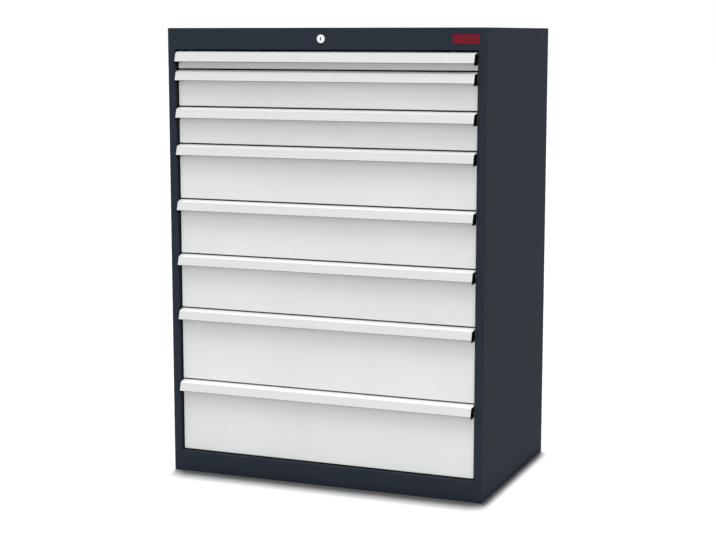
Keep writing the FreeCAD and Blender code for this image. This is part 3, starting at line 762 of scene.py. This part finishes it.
def barrel_shape(shapes, low, high, bore, body, face_back):
    """The lock's housing: a round head with a soft rim and a bevelled bore, and the body behind."""
    centre = (low + high) / 2
    head = (high.x - low.x) / 2
    rim = shapes.head_round
    soft = quarter((head - rim, low.y + rim), rim, -math.pi / 2, shapes.fold_steps)
    outline = [(bore, high.y), (bore, low.y + shapes.mouth_bevel), (bore + shapes.mouth_bevel, low.y)]
    outline += soft + [(head, face_back), (body, face_back), (body, high.y)]
    return turned_shape(outline, centre, shapes.turn_steps)


def keyway_outline(shapes, centre, y):
    """Corners of the keyway's mouth, round at its ends, as points about the plug's axis."""
    half = shapes.keyway_width / 2
    level = shapes.keyway_height / 2 - half
    points = []
    for sign in (1, -1):
        for i in range(shapes.corner_steps + 1):
            angle = math.pi * i / shapes.corner_steps
            points.append((centre.x + sign * half * math.cos(angle), y,
                           centre.z + sign * (level + half * math.sin(angle))))
    return points


def plug_shape(shapes, low, high):
    """The lock's plug: a bevelled face with a keyway sunk into it."""
    centre = (low + high) / 2
    radius = (high.x - low.x) / 2
    shape = bmesh.new()
    slot = [shape.verts.new(point) for point in keyway_outline(shapes, centre, low.y)]
    slot_edges = [shape.edges.new((a, b)) for a, b in zip(slot, slot[1:] + slot[:1])]
    rim = []
    for i in range(shapes.turn_steps):
        angle = math.tau * i / shapes.turn_steps
        rim.append(shape.verts.new((centre.x + radius * math.cos(angle), low.y,
                                    centre.z + radius * math.sin(angle))))
    rim_edges = [shape.edges.new((a, b)) for a, b in zip(rim, rim[1:] + rim[:1])]
    bmesh.ops.bridge_loops(shape, edges=slot_edges + rim_edges)
    for edges, depth in ((rim_edges, high.y - low.y), (slot_edges, shapes.keyway_depth)):
        pulled = bmesh.ops.extrude_edge_only(shape, edges=edges)["geom"]
        far = [item for item in pulled if isinstance(item, bmesh.types.BMVert)]
        bmesh.ops.translate(shape, verts=far, vec=(0, depth, 0))
        far_edges = [item for item in pulled if isinstance(item, bmesh.types.BMEdge)]
        bmesh.ops.contextual_create(shape, geom=far_edges)
    bmesh.ops.recalc_face_normals(shape, faces=shape.faces[:])
    for edges, bevel in ((rim_edges, shapes.plug_bevel), (slot_edges, shapes.keyway_mouth)):
        round_off(shape, [edge for edge in edges if edge.is_valid], bevel, shapes.cut_steps)
    return shape


def badge_shape(shapes, low, high):
    """A blank plate with round corners and a soft rim."""
    shape = bmesh.new()
    corners = [(low.x, low.z), (high.x, low.z), (high.x, high.z), (low.x, high.z)]
    face = shape.faces.new([shape.verts.new((x, high.y, z)) for x, z in corners])
    bmesh.ops.bevel(shape, geom=face.verts[:], offset=shapes.badge_corner, segments=shapes.corner_steps,
                    profile=0.5, affect="VERTICES", clamp_overlap=True, material=-1)
    pull_out(shape, shape.faces[:], (0, low.y - high.y, 0))
    bmesh.ops.recalc_face_normals(shape, faces=shape.faces[:])
    round_off(shape, edges_across(shape, 1, low.y), shapes.badge_rim, shapes.fold_steps)
    return shape


class CABINET_OT_housing(bpy.types.Operator):
    """Paints the folded sheets of the housing"""

    bl_idname = "cabinet.housing"
    bl_label = "Housing"

    def execute(self, context):
        for node in ("right_side_panel", "left_side_panel", "top_panel", "base_pan", "back_panel"):
            dress(context, node, "housing_paint")
        dress(context, "back_panel_rivets", "zinc_steel")
        return {"FINISHED"}


class CABINET_OT_runners(bpy.types.Operator):
    """Plates the uprights, the channels and the middle rails"""

    bl_idname = "cabinet.runners"
    bl_label = "Runners and uprights"

    def execute(self, context):
        for side in ("right", "left"):
            for row in ("front", "rear"):
                dress(context, f"{side}_{row}_upright", "zinc_steel")
        dress(context, "cabinet_channels", "zinc_steel")
        for number in DRAWERS:
            dress(context, f"drawer_{number}_middle_rails", "zinc_steel")
        return {"FINISHED"}


class CABINET_OT_trays(bpy.types.Operator):
    """Paints the drawer trays"""

    bl_idname = "cabinet.trays"
    bl_label = "Trays"

    def execute(self, context):
        for number in DRAWERS:
            dress(context, f"drawer_{number}_tray", "tray_paint")
        return {"FINISHED"}


class CABINET_OT_fronts(bpy.types.Operator):
    """Makes the folded drawer fronts"""

    bl_idname = "cabinet.fronts"
    bl_label = "Drawer fronts"

    def execute(self, context):
        for number in DRAWERS:
            body = f"drawer_{number}"
            shape = front_shape(context.scene.cabinet_shapes, *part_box(body + "_front"))
            put_piece(context, shape, f"front_{number}", body, "front_paint", body + "_front")
        return {"FINISHED"}


class CABINET_OT_handles(bpy.types.Operator):
    """Makes the handle strips and their end caps"""

    bl_idname = "cabinet.handles"
    bl_label = "Handles"

    def execute(self, context):
        shapes = context.scene.cabinet_shapes
        for number in DRAWERS:
            body = f"drawer_{number}"
            low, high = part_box(body + "_handle")
            front_low, front_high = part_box(body + "_front")
            edge = (front_low.y, front_high.z)
            put_piece(context, handle_shape(shapes, low, high, *edge), f"handle_{number}", body,
                      "handle_aluminium", body + "_handle")
            put_piece(context, cap_shape(shapes, low, high, *edge), f"handle_caps_{number}", body,
                      "cap_plastic", body + "_handle_caps")
        return {"FINISHED"}


class CABINET_OT_lock(bpy.types.Operator):
    """Makes the lock's head and plug, and plates what they drive"""

    bl_idname = "cabinet.lock"
    bl_label = "Lock"

    def execute(self, context):
        shapes = context.scene.cabinet_shapes
        low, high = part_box("lock_barrel")
        plug_low, plug_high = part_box("lock_plug")
        nut_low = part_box("lock_nut")[0]
        bore = (plug_high.x - plug_low.x) / 2 + shapes.plug_clearance
        body = bore + shapes.barrel_wall
        face_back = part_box("top_panel")[0].y
        if not face_back < nut_low.y < high.y:
            raise RuntimeError("The lock's body doesn't reach through its nut")
        put_piece(context, barrel_shape(shapes, low, high, bore, body, face_back), "lock_head", "cabinet",
                  "lock_nickel", "lock_barrel")
        put_piece(context, plug_shape(shapes, plug_low, plug_high), "lock_cylinder", "lock_plug",
                  "lock_nickel", "lock_plug")
        dress(context, "lock_nut", "lock_nickel")
        for node in ("lock_shaft", "shaft_bracket", "lock_bar", "lock_arms", "lock_bar_guides"):
            dress(context, node, "zinc_steel")
        return {"FINISHED"}


class CABINET_OT_badge(bpy.types.Operator):
    """Makes the blank enamelled plate"""

    bl_idname = "cabinet.badge"
    bl_label = "Badge plate"

    def execute(self, context):
        low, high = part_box("badge_plate")
        put_piece(context, badge_shape(context.scene.cabinet_shapes, low, high), "badge", "cabinet",
                  "badge_enamel", "badge_plate")
        return {"FINISHED"}


def studio_floor(context, studio):
    """Round pale floor under the cabinet."""
    shape = bmesh.new()
    bmesh.ops.create_circle(shape, cap_ends=True, segments=studio.floor_steps, radius=studio.floor_radius)
    mesh = bpy.data.meshes.new("studio_floor")
    shape.to_mesh(mesh)
    shape.free()
    floor = bpy.data.objects.new("studio_floor", mesh)
    context.scene.collection.objects.link(floor)
    material, graph, shader, place = new_material("studio_floor")
    tone = graph.vary(graph.noise(place, scale=1.4), studio.floor_tone * 0.98, studio.floor_tone * 1.02)
    colour = graph.add("CombineColor", dict.fromkeys(range(3), tone)).outputs[0]
    rough = graph.spread(graph.noise(place, scale=40.0), 0.85, 0.95)
    graph.feed(shader.inputs["Base Color"], colour)
    graph.feed(shader.inputs["Roughness"], rough)
    shader.inputs["Specular IOR Level"].default_value = 0.0
    mesh.materials.append(material)
    return floor


def studio_camera(context, studio):
    """Camera at the photograph's place."""
    data = bpy.data.cameras.new("camera")
    data.lens = studio.lens
    data.sensor_width = SENSOR_WIDTH
    data.clip_end = 4 * studio.floor_radius
    camera = bpy.data.objects.new("camera", data)
    camera.location = studio.camera_place
    camera.rotation_euler = (studio.camera_tilt, 0, studio.camera_turn)
    context.scene.collection.objects.link(camera)
    context.scene.camera = camera


def far_light(context, name, strength, softness, tilt, turn):
    """A far light, turned from straight down."""
    data = bpy.data.lights.new(name, "SUN")
    data.energy = strength
    data.angle = softness
    light = bpy.data.objects.new(name, data)
    light.rotation_euler = (tilt, 0, turn)
    context.scene.collection.objects.link(light)
    return light


def studio_light(context, studio, floor):
    """White surroundings, a soft key light, and a row of lights from above for the floor alone."""
    world = bpy.data.worlds.new("studio")
    world.use_nodes = True
    back = next(n for n in world.node_tree.nodes if n.type == "BACKGROUND")
    back.inputs["Color"].default_value = (1, 1, 1, 1)
    back.inputs["Strength"].default_value = studio.dome
    context.scene.world = world
    far_light(context, "key", studio.key, studio.key_softness, studio.key_tilt, studio.key_turn)
    lit = bpy.data.collections.new("floor_only")
    lit.objects.link(floor)
    for number in range(studio.floor_lights):
        share = (number + 0.5) / studio.floor_lights
        ahead = studio.shadow_near + share * (studio.shadow_far - studio.shadow_near)
        tilt = math.atan2(math.hypot(studio.shadow_aside, ahead), cad_high.z)
        above = far_light(context, f"floor_light_{number + 1}", studio.floor_key / studio.floor_lights,
                          studio.floor_softness, tilt, math.atan2(-studio.shadow_aside, -ahead))
        above.light_linking.receiver_collection = lit
    context.scene.view_settings.view_transform = "Standard"


class CABINET_OT_stage(bpy.types.Operator):
    """Sets up the floor, the lights and the camera"""

    bl_idname = "cabinet.stage"
    bl_label = "Stage"

    def execute(self, context):
        studio = context.scene.cabinet_studio
        floor = studio_floor(context, studio)
        studio_camera(context, studio)
        studio_light(context, studio, floor)
        return {"FINISHED"}


OPERATORS = (CABINET_OT_housing, CABINET_OT_runners, CABINET_OT_trays, CABINET_OT_fronts, CABINET_OT_handles,
             CABINET_OT_lock, CABINET_OT_badge, CABINET_OT_stage)


class CABINET_PT_panel(bpy.types.Panel):
    """Steps of the cabinet, in order"""

    bl_idname = "CABINET_PT_panel"
    bl_label = "Drawer Cabinet"
    bl_space_type = "VIEW_3D"
    bl_region_type = "UI"
    bl_category = "Cabinet"

    def draw(self, context):
        for step in OPERATORS:
            self.layout.operator(step.bl_idname)
        scene = context.scene
        for group in (scene.cabinet_shapes, scene.cabinet_finish, scene.cabinet_studio):
            box = self.layout.box()
            for name in group.bl_rna.properties.keys():
                if name not in ("rna_type", "name"):
                    box.prop(group, name)


CLASSES = (CabinetShapes, CabinetFinish, StudioSettings, *OPERATORS, CABINET_PT_panel)


def register():
    for made in CLASSES:
        bpy.utils.register_class(made)
    bpy.types.Scene.cabinet_shapes = PointerProperty(type=CabinetShapes)
    bpy.types.Scene.cabinet_finish = PointerProperty(type=CabinetFinish)
    bpy.types.Scene.cabinet_studio = PointerProperty(type=StudioSettings)


def unregister():
    del bpy.types.Scene.cabinet_studio
    del bpy.types.Scene.cabinet_finish
    del bpy.types.Scene.cabinet_shapes
    for made in reversed(CLASSES):
        bpy.utils.unregister_class(made)


def main():
    register()
    bpy.ops.cabinet.housing()
    bpy.ops.cabinet.runners()
    bpy.ops.cabinet.trays()
    bpy.ops.cabinet.fronts()
    bpy.ops.cabinet.handles()
    bpy.ops.cabinet.lock()
    bpy.ops.cabinet.badge()
    bpy.ops.cabinet.stage()


if __name__ == "__main__":
    main()
